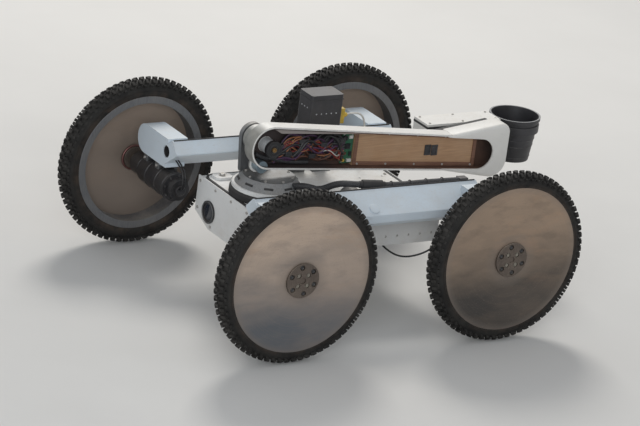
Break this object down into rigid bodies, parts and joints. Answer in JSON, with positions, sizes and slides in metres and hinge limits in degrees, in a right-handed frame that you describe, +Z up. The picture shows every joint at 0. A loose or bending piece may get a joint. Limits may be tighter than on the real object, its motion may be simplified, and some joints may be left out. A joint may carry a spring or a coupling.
{
  "type": "planetary rover prototype",
  "caption": "Wheeled rocker rover with a shallow tub chassis, a radio box and a hinged sampling arm that ends in a bucket, stowed over its deck",
  "frame": {"origin": "on the floor under the middle of the whole rover", "axes": "+X forward, +Y to the rover's left, +Z up; wheel, shoulder and elbow axes along Y"},
  "size_m": [1.09, 0.78, 0.43],
  "materials": {
    "tyre": "dusty black rubber",
    "wheel_metal": "bare metal under dust",
    "wheel_disc": "flat sheet, dusty tan",
    "hub_steel": "satin",
    "motor_black": "satin black",
    "white_paint": "white paint, dusty",
    "grey_metal": "machined",
    "black_rubber": "matt seal",
    "black_plastic": "matt black",
    "yellow_plastic": "dull yellow",
    "dark_glass": "dark window in its ring",
    "tan_panel": "matt tan sheet",
    "bright_metal": "bright turned metal"
  },
  "bodies": {
    "chassis": {"motor_front_left": "motor_black", "motor_front_right": "motor_black", "motor_rear_left": "motor_black", "motor_rear_right": "motor_black", "rocker_left": "white_paint", "rocker_right": "white_paint", "motor_saddles": "grey_metal", "pivot_blocks": "grey_metal", "pivot_shafts": "hub_steel", "tub": "white_paint", "front_plate": "white_paint", "rear_plate": "white_paint", "front_port": "dark_glass", "deck": "white_paint", "deck_seal": "black_rubber", "deck_clamps": "white_paint", "battery": "black_plastic", "radio_stand": "grey_metal", "radio_box": "black_plastic", "radio_plug": "yellow_plastic", "deck_loom": "black_rubber", "loom_glands": "black_plastic", "turntable_base": "black_plastic"},
    "turret": {"turntable": "white_paint", "shoulder_bracket": "grey_metal", "shoulder_pin": "bright_metal"},
    "upper_arm": {"arm_channel": "white_paint", "shoulder_motor": "grey_metal", "arm_panel": "tan_panel", "elbow_fairing": "white_paint", "elbow_pin": "bright_metal"},
    "forearm_body": {"forearm": "white_paint", "forearm_lid": "white_paint", "bucket": "black_plastic", "bucket_band": "black_plastic"},
    "wheel_front_left": {"tyre_front_left": "tyre", "rim_front_left": "wheel_metal", "disc_front_left": "wheel_disc", "hub_front_left": "hub_steel"},
    "wheel_front_right": {"tyre_front_right": "tyre", "rim_front_right": "wheel_metal", "disc_front_right": "wheel_disc", "hub_front_right": "hub_steel"},
    "wheel_rear_left": {"tyre_rear_left": "tyre", "rim_rear_left": "wheel_metal", "disc_rear_left": "wheel_disc", "hub_rear_left": "hub_steel"},
    "wheel_rear_right": {"tyre_rear_right": "tyre", "rim_rear_right": "wheel_metal", "disc_rear_right": "wheel_disc", "hub_rear_right": "hub_steel"}
  },
  "joints": [
    {"name": "wheel_front_left_spin", "type": "hinge", "parent": "chassis", "child": "wheel_front_left", "pos_m": [0.345, 0.361, 0.2], "axis": [0, 1, 0], "continuous": true},
    {"name": "wheel_front_right_spin", "type": "hinge", "parent": "chassis", "child": "wheel_front_right", "pos_m": [0.345, -0.361, 0.2], "axis": [0, 1, 0], "continuous": true},
    {"name": "wheel_rear_left_spin", "type": "hinge", "parent": "chassis", "child": "wheel_rear_left", "pos_m": [-0.195, 0.361, 0.2], "axis": [0, 1, 0], "continuous": true},
    {"name": "wheel_rear_right_spin", "type": "hinge", "parent": "chassis", "child": "wheel_rear_right", "pos_m": [-0.195, -0.361, 0.2], "axis": [0, 1, 0], "continuous": true},
    {"name": "turret_yaw", "type": "hinge", "parent": "chassis", "child": "turret", "pos_m": [0.215, 0, 0.26], "axis": [0, 0, 1], "range_deg": [-12, 12]},
    {"name": "shoulder", "type": "hinge", "parent": "turret", "child": "upper_arm", "pos_m": [0.24, 0, 0.365], "axis": [0, 1, 0], "range_deg": [0, 195]},
    {"name": "elbow", "type": "hinge", "parent": "upper_arm", "child": "forearm_body", "pos_m": [-0.345, -0.076, 0.309], "axis": [0, 1, 0], "range_deg": [-90, 90]}
  ]
}
